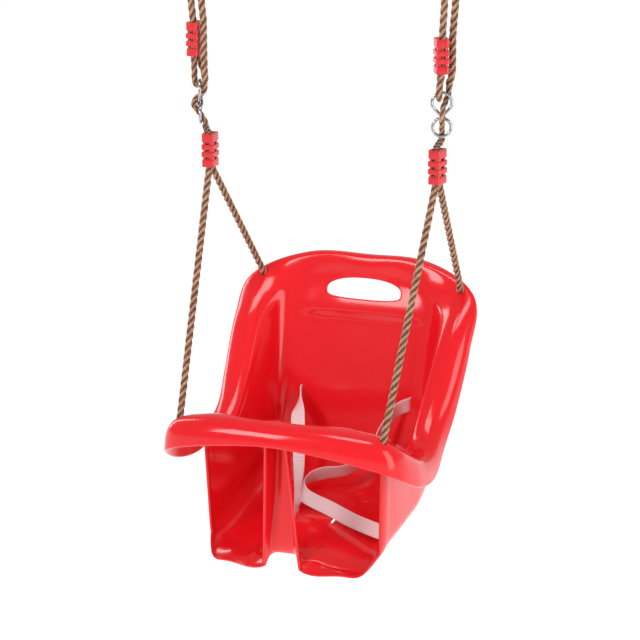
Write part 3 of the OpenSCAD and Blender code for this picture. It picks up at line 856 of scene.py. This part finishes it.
def thicken(vertices, faces, is_lip):
    """Both faces of the wall and a rounded edge round every opening."""
    normals = vertex_normals(vertices, faces)
    count = len(vertices)
    points = list(vertices + normals * WALL / 2) + list(vertices - normals * WALL / 2)
    solid = [list(f) for f in faces]
    solid += [[k + count for k in reversed(f)] for f in faces]
    used = dict.fromkeys(edge for f in faces for edge in zip(f, f[1:] + f[:1]))
    border = {a: b for a, b in used if (b, a) not in used}
    previous = {b: a for a, b in border.items()}
    strip = {}
    for a, b in border.items():
        before = previous[a]
        n = normals[a]
        outwards = np.zeros(3)
        for start, end in ((before, a), (a, b)):
            along = vertices[end] - vertices[start]
            if np.linalg.norm(along) > 1e-9:
                outwards += unit(np.cross(unit(along), n))
        outwards = unit(outwards - (outwards @ n) * n)
        chain = [a]
        for across, reach in edge_profile(is_lip[a]):
            chain.append(len(points))
            points.append(vertices[a] + n * across + outwards * reach)
        chain.append(a + count)
        strip[a] = chain
    for a, b in border.items():
        for k in range(len(strip[a]) - 1):
            solid.append([strip[b][k], strip[a][k], strip[a][k + 1], strip[b][k + 1]])
    return points, solid


def make_seat():
    vertices, faces, is_lip = middle_surface()
    faces = wound_alike(vertices, faces)
    points, solid = thicken(vertices, faces, is_lip)
    seat = new_object("bucket_seat", to_row(points), solid, RED)
    work = bmesh.new()
    work.from_mesh(seat.data)
    loose = [v for v in work.verts if not v.link_faces]
    bmesh.ops.delete(work, geom=loose, context="VERTS")
    bmesh.ops.recalc_face_normals(work, faces=work.faces)
    work.to_mesh(seat.data)
    work.free()
    seat.data.shade_smooth()
    stand_for(seat, "seat_shell", "seat")


# ---------- rope ----------

LAY_LENGTH = 34.0
STRAND_SIDES = 12
STRAND_OFFSET = 0.50
STRAND_RADIUS = 0.50


def resampled(points, softness=2.5):
    """Points a millimetre apart along a path, corners rounded, and the place of each given point."""
    points = np.array(points, float)
    lengths = np.linalg.norm(np.diff(points, axis=0), axis=1)
    at = np.concatenate([[0], np.cumsum(lengths)])
    count = int(round(at[-1]))
    s = np.linspace(0, at[-1], count + 1)
    path = np.stack([np.interp(s, at, points[:, k]) for k in range(3)], axis=1)
    reach = int(4 * softness)
    kernel = np.exp(-0.5 * (np.arange(-reach, reach + 1) / softness)**2)
    kernel /= kernel.sum()
    head = 2 * path[0] - path[reach:0:-1]
    tail = 2 * path[-1] - path[-2:-reach - 2:-1]
    padded = np.vstack([head, path, tail])
    smooth = np.stack([np.convolve(padded[:, k], kernel, mode="valid") for k in range(3)], axis=1)
    return smooth, [int(round(a / at[-1] * count)) for a in at]


def frames_along(path):
    """Axes across the path that turn as little as they can."""
    tangents = np.gradient(path, axis=0)
    tangents /= np.linalg.norm(tangents, axis=1)[:, None]
    across, _ = axes_across(tangents[0])
    first, second = [], []
    for t in tangents:
        across = unit(across - (across @ t) * t)
        first.append(across)
        second.append(np.cross(t, across))
    return np.array(first), np.array(second)


def twisted_rope(name, path, first, second, phase, radii, start, end):
    """The part of a three-strand rope between two samples of its path."""
    vertices, faces, groove, uvs = [], [], [], []
    samples = list(range(start, end + 1))
    ring = np.arange(STRAND_SIDES) / STRAND_SIDES
    for strand in range(3):
        base = len(vertices)
        for i in samples:
            angle = phase[i] + strand * 2 * math.pi / 3
            outward = math.cos(angle) * first[i] + math.sin(angle) * second[i]
            sideways = math.cos(angle) * second[i] - math.sin(angle) * first[i]
            centre = path[i] + STRAND_OFFSET * radii[i] * outward
            for share in ring:
                a = 2 * math.pi * share
                # Oval strands: flattened a little where they face outwards
                offset = 0.94 * math.cos(a) * outward + 1.06 * math.sin(a) * sideways
                vertices.append(centre + STRAND_RADIUS * radii[i] * offset)
                # Painted shade: 1 where the strand faces outwards, 0 where it faces the rope's middle, so the
                # grooves come out dark.
                groove.append(0.5 + 0.5 * math.cos(a))
        for j in range(len(samples) - 1):
            low = base + j * STRAND_SIDES
            faces += band(low, low + STRAND_SIDES, STRAND_SIDES)
            v, v_next = phase[samples[j]] / 2 / math.pi, phase[samples[j + 1]] / 2 / math.pi
            for k in range(STRAND_SIDES):
                u, u_next = k / STRAND_SIDES, (k + 1) / STRAND_SIDES
                uvs += [(u, v), (u_next, v), (u_next, v_next), (u, v_next)]
        last = base + (len(samples) - 1) * STRAND_SIDES
        faces.append(tuple(base + k for k in reversed(range(STRAND_SIDES))))
        faces.append(tuple(last + k for k in range(STRAND_SIDES)))
        uvs += [(0.0, 0.0)] * (2 * STRAND_SIDES)
    rope = new_object(name, to_row(vertices), faces, ROPE)
    uv_layer = rope.data.uv_layers.new(name="strand")
    uv_layer.data.foreach_set("uv", np.array(uvs, np.float32).ravel())
    attribute = rope.data.attributes.new("groove", "FLOAT", "POINT")
    attribute.data.foreach_set("value", np.array(groove, np.float32))
    return rope


def hermite_path(points, steps):
    """Smooth path through a few points, with the given number of steps between two."""
    p = [np.array(x, float) for x in points]
    last = len(p) - 1

    def slope(i):
        if i == 0:
            return p[1] - p[0]
        if i == last:
            return p[last] - p[last - 1]
        return (p[i + 1] - p[i - 1]) / 2

    path = []
    for i in range(last):
        for k in range(steps):
            first, first_slope, second, second_slope = cubic_weights(k / steps)
            path.append(
                first * p[i] + first_slope * slope(i) + second * p[i + 1] + second_slope * slope(i + 1))
    path.append(p[last])
    return path


EIGHT_EXIT = np.array([8.4, 6.6, EIGHT_HEIGHT / 2 + 4])
EIGHT_ENTRY = np.array([0, 6.4, -EIGHT_HEIGHT / 2 - 1])
RISE = np.array([0, 0, STRAIGHT_END])


def knot_top(start, hole):
    return hole + UNDER_HOLE * unit(hole - start) - RISE


def carrying_points(side, y, hole):
    """From the knot up to the mouth of the lower clamp."""
    start = mouth(side, y)
    place = hole_at(side, hole)
    return [knot_top(start, place), place + UNDER_HOLE * unit(place - start), start - RISE, start]


def weave_points(side):
    turns = [EIGHT_ENTRY, (0, 6.4, -27), (0, 4, -22.5), (0, 0, -16.3), (0.3, -4.8, -10.5), (0.6, -8.6, -5),
             (0.8, -8.8, -1), (1, -5.2, 4.5), (1.5, 0, 8.8), (3.2, 4.5, 13), (5.8, 6.6, 19), (8.4, 6.6, 27),
             EIGHT_EXIT]
    return hermite_path([in_eight(side, p) for p in turns], 3)


def over_ring_points(side):
    bend = RING_WIRE / 2 + ROPE_R + REST_GAP
    centre = np.array([side * RING_HALF_SPAN, -RING_FORWARD, SEAT_DROP - RING_RADIUS], float)
    points = []
    for degrees in range(0, 181, 10):
        a = math.radians(degrees)
        points.append(centre + [bend * math.cos(a), 0, bend * math.sin(a)])
    return points


def loop_points(side):
    """Down through the upper clamp, under the top of the adjuster and back up."""
    bore = [in_upper_clamp(side, (0, -BORE_OFFSET, z)) for z in (0, -CLAMP_END)]
    wire_front = in_eight(side, (0, -1, 0)) - in_eight(side, (0, 0, 0))
    clamp_front = in_upper_clamp(side, (0, -1, 0)) - in_upper_clamp(side, (0, 0, 0))
    facing = 1 if wire_front @ clamp_front >= 0 else -1
    under = [(-3.6, -7, 33), (-3.6, -7.2, 27.5), (-3.6, -5.4, 22.2), (-3.6, 0, 19.3), (-3.6, 5.4, 22.2),
             (-3.6, 7.2, 27.5), (-3.6, 7, 33)]
    wrap = hermite_path([in_eight(side, (p[0], facing * p[1], p[2])) for p in under], 3)
    back_up = [in_upper_clamp(side, (0, BORE_OFFSET, z)) for z in (-CLAMP_END, CLAMP_END - 8)]
    return bore + wrap + back_up


def cord_facts(path, start, end):
    """Turns the rope's path between two samples into row coordinates, reversed; nothing is kept."""
    points = to_row(path[start:end + 1])
    [tuple(p) for p in points[::-1]]


def main_rope_points(side):
    """Guide points from the front knot to the loop, and which point ends each stretch."""
    points, marks = [], {}

    def extend(label, more):
        points.extend(more)
        marks[label] = len(points) - 1

    extend("mouth", carrying_points(side, -BORE_OFFSET, FRONT_HOLE))
    extend("clamp_top", [in_lower_clamp(side, (0, -BORE_OFFSET, CLAMP_END + 2))])
    extend("entry", [in_eight(side, EIGHT_ENTRY - RISE), in_eight(side, EIGHT_ENTRY)])
    extend("exit", weave_points(side)[1:])
    beside = CLAMP_WIDTH / 2 + ROPE_R + 0.7
    extend("before_arc", [in_eight(side, EIGHT_EXIT) + RISE] + [
        in_upper_clamp(side, (beside, BESIDE_LEAN[side], z)) for z in (-CLAMP_END, CLAMP_END + 4)])
    arc = over_ring_points(side)
    extend("arc_start", arc[:1])
    extend("arc_end", arc[1:])
    finish = in_upper_clamp(side, (0, -BORE_OFFSET, CLAMP_END + CLAMP_TAIL))
    extend("finish", [finish + RISE, finish])
    extend("end", loop_points(side))
    return points, marks


def main_rope_shape(count, at):
    """The angle of the first strand and the rope's radius, sample by sample."""
    s = np.arange(count, dtype=float)
    # More twist where the rope is stretched out of the clamp as the height changes
    share = (s - at["mouth"]) / max(at["entry"] - at["mouth"], 1)
    stretched = s + 2 * HEIGHT_TRAVEL * step(share)
    phase = 2 * math.pi * stretched / LAY_LENGTH
    squeezed = step((s - at["entry"] + 4) / 8) * step((at["exit"] + 4 - s) / 8)
    in_loop = step((s - at["finish"]) / 6)
    return phase, ROPE_R + (SQUEEZED_R - ROPE_R) * squeezed + (LOOP_R - ROPE_R) * in_loop


def make_main_rope(name, side):
    """One rope: knot, lower clamp, adjuster, ring, upper clamp and the loop round the adjuster."""
    points, marks = main_rope_points(side)
    path, places = resampled(points)
    at = {label: places[k] for label, k in marks.items()}
    phase, radii = main_rope_shape(len(path), at)
    first, second = frames_along(path)

    def part(label, start, end):
        return twisted_rope(label + "_" + name + "_twisted", path, first, second, phase, radii, start, end)

    front = part("front_rope", 0, at["mouth"])
    feed = part("feed_rope", at["mouth"], at["entry"])
    weave = part("weave_rope", at["entry"], at["exit"])
    main = part("main_strand", at["exit"], at["arc_start"])
    arc_part = part("over_ring", at["arc_start"], at["arc_end"])
    clamped = part("clamped_strand", at["arc_end"], at["finish"])
    loop = part("loop_rope", at["finish"], at["end"])
    for piece, node in ((front, "front_rope_"), (feed, "feed_rope_"), (weave, "weave_rope_"),
                        (main, "upper_rope_"), (loop, "loop_rope_")):
        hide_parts(node + name)
    knot = make_knot("front_knot_" + name, path[0], side)
    cord_facts(path, 0, at["mouth"])
    cord_facts(path, at["exit"], at["arc_start"])
    cord_facts(path, at["arc_end"], at["finish"])
    clamp_low = row_point(path[at["mouth"]])
    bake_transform(front)
    row_point(path[at["entry"]])
    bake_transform(feed)
    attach(weave, "adjuster_" + name)
    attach(loop, "adjuster_" + name)
    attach(arc_part, "hanging_ropes")
    for piece, low in ((main, at["exit"]), (clamped, at["finish"])):
        top = row_point(path[at["arc_start"]])
        bottom = row_point(path[low])
        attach(piece, "hanging_ropes")
        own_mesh(piece)


def make_back_rope(name, side):
    """From the back knot up into the lower clamp, where it ends."""
    points = carrying_points(side, BORE_OFFSET, BACK_HOLE)
    mouth_mark = len(points) - 1
    points.append(in_lower_clamp(side, (0, BORE_OFFSET, CLAMP_END - 10)))
    path, places = resampled(points)
    phase = 2 * math.pi * np.arange(len(path)) / LAY_LENGTH
    radii = np.full(len(path), ROPE_R)
    first, second = frames_along(path)
    at = places[mouth_mark]
    last = len(path) - 1
    back = twisted_rope("back_rope_" + name + "_twisted", path, first, second, phase, radii, 0, at)
    end = twisted_rope("clamped_end_" + name + "_twisted", path, first, second, phase, radii, at, last)
    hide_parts("back_rope_" + name)
    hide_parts("clamped_end_" + name)
    knot = make_knot("back_knot_" + name, path[0], side)
    cord_facts(path, 0, at)
    clamp_low = row_point(path[at])
    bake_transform(back)
    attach(end, "rope_clamps")


def make_knot(name, top, side):
    """Stopper knot: the rope's end wound nearly three times round itself."""
    core = [(0, 0, 0), (0, 0, -8), (0, 0, -16), (0.6, 0.3, -26)]
    coil, steps, turns = [], 72, 2.75
    for k in range(steps + 1):
        share = k / steps
        a = 2 * math.pi * turns * share + 0.6
        reach = 5.9 * step(share * 9) * step((1 - share) * 9) + 0.8
        coil.append((side * reach * math.cos(a), reach * math.sin(a), -18.6 + 14.6 * share))
    parts = []
    for label, shape, radius in (("core", core, 3.8), ("coil", coil, 3.7)):
        path, _ = resampled([top + np.array(p) for p in shape], 1.2)
        first, second = frames_along(path)
        phase = 2 * math.pi * np.arange(len(path)) / (LAY_LENGTH * 0.75)
        radii = np.full(len(path), radius)
        parts.append(twisted_rope(name + "_" + label, path, first, second, phase, radii, 0, len(path) - 1))
    knot = joined(name + "_wound", parts)
    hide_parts(name)
    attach(knot, "seat")
    return knot


def joined(name, parts):
    """One object made of several, with their attributes."""
    with bpy.context.temp_override(
            active_object=parts[0], selected_objects=parts, selected_editable_objects=parts):
        bpy.ops.object.join()
    parts[0].name = name
    parts[0].data.name = name
    return parts[0]


# ---------- steel ----------

def closed_wire(name, path, radii, axes, sides, material):
    """A round wire along a closed path. axes holds two directions across it for every point."""
    vertices, faces = [], []
    for i, (point, radius, (first, second)) in enumerate(zip(path, radii, axes)):
        for k in range(sides):
            a = 2 * math.pi * k / sides
            vertices.append(point + radius * (math.cos(a) * first + math.sin(a) * second))
        faces += band((i + 1) % len(path) * sides, i * sides, sides)
    return new_object(name, to_row(vertices), faces, material)


def closed_curve(points, steps):
    """Smooth closed path through the points."""
    p, count = points, len(points)
    path = []
    for i in range(count):
        a, b, c, d = p[i - 1], p[i], p[(i + 1) % count], p[(i + 2) % count]
        for k in range(steps):
            t = k / steps
            path.append(0.5 * (2 * b + (c - a) * t + (2 * a - 5 * b + 4 * c - d) * t * t
                               + (3 * b - 3 * c + d - a) * t**3))
    return path


def make_eight(name, side):
    """Wire bent into two eyes that cross in the middle."""
    top = (EIGHT_HEIGHT - EIGHT_WIRE) / 2
    low, high = -top + LOWER_EYE, top - UPPER_EYE
    crossing, side_step = low + LOWER_EYE + 2, EIGHT_WIRE / 2 + 0.2
    points = []
    for degrees in range(60, -241, -20):
        a = math.radians(degrees)
        points.append((LOWER_EYE * math.cos(a), 0, low + LOWER_EYE * math.sin(a)))
    points.append((0, -side_step, crossing))
    for degrees in range(-30, 211, 20):
        a = math.radians(degrees)
        points.append((UPPER_EYE * math.cos(a), 0, high + UPPER_EYE * math.sin(a)))
    points.append((0, side_step, crossing))
    path = closed_curve([in_eight(side, p) for p in points], 4)
    axes = []
    for i in range(len(path)):
        along = unit(path[(i + 1) % len(path)] - path[i - 1])
        across = unit(Y_AXIS - along[1] * along)
        axes.append((across, np.cross(along, across)))
    eight = closed_wire("wire_eight_" + name, path, [EIGHT_WIRE / 2] * len(path), axes, 16, CHROME)
    stand_for(eight, "eight_" + name, "adjuster_" + name)


def make_ring(name, side):
    """Steel ring with a small weld at its top."""
    centre = np.array([side * RING_HALF_SPAN, -RING_FORWARD, SEAT_DROP], float)
    steps, weld_height, weld_width = 96, 0.25, 0.09
    path, radii = [], []
    for k in range(steps):
        a = 2 * math.pi * k / steps
        path.append(centre + [0, RING_RADIUS * math.sin(a), RING_RADIUS * math.cos(a)])
        off_weld = abs((a + math.pi) % (2 * math.pi) - math.pi)
        radii.append(RING_WIRE / 2 + weld_height * math.exp(-(off_weld / weld_width)**2))
    axes = [(unit(point - centre), X_AXIS) for point in path]
    ring = closed_wire("welded_ring_" + name, path, radii, axes, 20, RING_STEEL)
    stand_for(ring, "ring_" + name, "hangers")


# ---------- moulded clamps and the stop under the floor ----------

def softened(node, width, material, body):
    """The CAD node's shape with its edges rounded."""
    name = node + "_moulded"
    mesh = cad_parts[node].data.copy()
    obj = bpy.data.objects.new(name, mesh)
    bpy.context.scene.collection.objects.link(obj)
    work = bmesh.new()
    work.from_mesh(mesh)
    bmesh.ops.remove_doubles(work, verts=work.verts, dist=1e-5)
    bmesh.ops.dissolve_limit(work, angle_limit=math.radians(2), verts=work.verts, edges=work.edges)
    sharp = [e for e in work.edges if e.is_manifold and e.calc_face_angle(0) > math.radians(40)]
    bmesh.ops.bevel(
        work, geom=sharp, offset=width, segments=2, profile=0.6, affect="EDGES", clamp_overlap=True)
    bmesh.ops.recalc_face_normals(work, faces=work.faces)
    work.to_mesh(mesh)
    work.free()
    mesh.materials.clear()
    mesh.materials.append(material)
    obj.data.shade_smooth()
    modifier = obj.modifiers.new("edges", "EDGE_SPLIT")
    modifier.split_angle = math.radians(35)
    stand_for(obj, node, body)


# ---------- belt ----------

def make_strap(name, path, widths):
    """Woven tape along a path, with thin rounded edges. widths gives its width direction."""
    path = np.array(hermite_path(path, 10))
    widths = np.array(hermite_path(widths, 10))
    count = len(path)
    half_w, half_t = WEBBING_WIDTH / 2, WEBBING_THICK / 2
    shape = [(w, half_t) for w in np.linspace(-half_w + 0.6, half_w - 0.6, 9)]
    shape += [(half_w - 0.15, 0.4 * half_t), (half_w - 0.15, -0.4 * half_t)]
    shape += [(w, -half_t) for w in np.linspace(half_w - 0.6, -half_w + 0.6, 9)]
    shape += [(-half_w + 0.15, -0.4 * half_t), (-half_w + 0.15, 0.4 * half_t)]
    n = len(shape)
    vertices, faces, uvs = [], [], []
    distance = np.concatenate([[0], np.cumsum(np.linalg.norm(np.diff(path, axis=0), axis=1))])
    for i in range(count):
        forward = unit(path[min(i + 1, count - 1)] - path[max(i - 1, 0)])
        across = unit(widths[i] - (widths[i] @ forward) * forward)
        face = np.cross(forward, across)
        for w, h in shape:
            vertices.append(path[i] + w * across + h * face)
    for i in range(count - 1):
        for k in range(n):
            m = (k + 1) % n
            faces.append((i * n + k, (i + 1) * n + k, (i + 1) * n + m, i * n + m))
            for row, column in ((i, k), (i + 1, k), (i + 1, m), (i, m)):
                uvs.append((shape[column][0] / WEBBING_WIDTH, distance[row] / WEBBING_WIDTH))
    faces.append(tuple(range(n)))
    faces.append(tuple((count - 1) * n + k for k in reversed(range(n))))
    uvs += [(0.0, 0.0)] * (2 * n)
    strap = new_object(name + "_woven", to_row(vertices), faces, TAPE)
    layer = strap.data.uv_layers.new(name="tape")
    layer.data.foreach_set("uv", np.array(uvs, np.float32).ravel())
    stand_for(strap, name, "seat")


def make_belts():
    make_strap(
        "belt_left",
        [(-80, 134, 155), (-80, 120, 154), (-75, 98, 145), (-68, 78, 133), (-57, 50, 108), (-46, 20, 84),
         (-37, -10, 63), (-29, -28, 50), (-27, -32, 42), (-27, -32, 22)],
        [(0, 0, 1), (0, 0, 1), (0.5, 0, 0.8), (1, 0.1, 0.2), (1, 0.2, 0.1), (0.8, 0.5, 0),
         (0.25, 1, 0), (0, 1, 0), (0, 1, 0), (0, 1, 0)])
    make_strap(
        "belt_right",
        [(80, 134, 155), (80, 120, 154), (66, 108, 147), (50, 84, 122), (36, 60, 90), (14, 46, 75),
         (-14, 42, 69), (-32, 32, 63), (-38, 13, 58), (-30, -3, 53), (-12, -13, 49), (19, -26, 45),
         (55, -42, 39), (84, -53, 36), (110, -64, 35)],
        [(0, 0, 1), (0, 0, 1), (0.1, -0.1, 1), (0.3, -0.1, 0.9), (0.4, -0.4, 0.7), (0, -0.5, 0.9),
         (0, -0.3, 1), (0.4, -0.1, 1), (0.6, 0.1, 0.8), (0.5, 0.4, 0.6), (0.3, 0.6, 0.6), (0.15, 0.5, 0.75),
         (0.1, 0.5, 0.8), (0.1, 0.5, 0.8), (0.1, 0.5, 0.8)])


# ---------- floor and lights ----------

def make_stage():
    n = Nodes("pale_floor")
    colour = n.ramp(n.noise(0.8, 2.0), [(0.3, (0.90, 0.90, 0.90)), (0.7, (0.93, 0.93, 0.93))])
    n.shade(Base_Color=colour, Roughness=0.9, Emission_Color=(1, 1, 1, 1), Emission_Strength=0.64)
    size, level = 30, -1.7
    floor = new_object(
        "floor", [(-size, -size, level), (size, -size, level), (size, size, level), (-size, size, level)],
        [(0, 1, 2, 3)], n.material, smooth=False)


def area_light(name, position, target, size, size_y, power):
    data = bpy.data.lights.new(name, "AREA")
    data.shape = "RECTANGLE"
    data.size = size
    data.size_y = size_y
    data.energy = power
    light = bpy.data.objects.new(name, data)
    light.location = position
    light.rotation_euler = (Vector(target) - Vector(position)).to_track_quat("-Z", "Y").to_euler()
    bpy.context.scene.collection.objects.link(light)


def make_lights():
    world = bpy.data.worlds.new("studio")
    world.use_nodes = True
    world.node_tree.nodes["Background"].inputs["Color"].default_value = (1, 1, 1, 1)
    world.node_tree.nodes["Background"].inputs["Strength"].default_value = 0.40
    bpy.context.scene.world = world
    seat = (0, 0, -0.6)
    area_light("key", (-1.3, -2.4, 0.9), seat, 1.0, 1.2, 34)
    area_light("right_strip", (2.3, -0.5, -0.1), seat, 1.2, 1.8, 24)
    area_light("top", (0.2, -0.4, 1.9), seat, 1.2, 0.8, 20)
    area_light("left_strip", (-1.9, 0.7, 0.2), seat, 0.3, 1.8, 10)


bpy.context.scene.view_settings.view_transform = "Standard"
for side_name, side_sign in SIDES:
    make_main_rope(side_name, side_sign)
    make_back_rope(side_name, side_sign)
make_seat()
for side_name, side_sign in SIDES:
    make_eight(side_name, side_sign)
    make_ring(side_name, side_sign)
    for half in ("inner", "outer"):
        for level, clamp_body in (("lower", "rope_clamps"), ("upper", "adjuster_" + side_name)):
            softened("%s_clamp_%s_%s" % (level, side_name, half), CLAMP_EDGE, CLAMP_RED,
                     clamp_body)
make_belts()
softened("belt_stop", STOP_EDGE, BLACK, "seat")
make_stage()
make_lights()
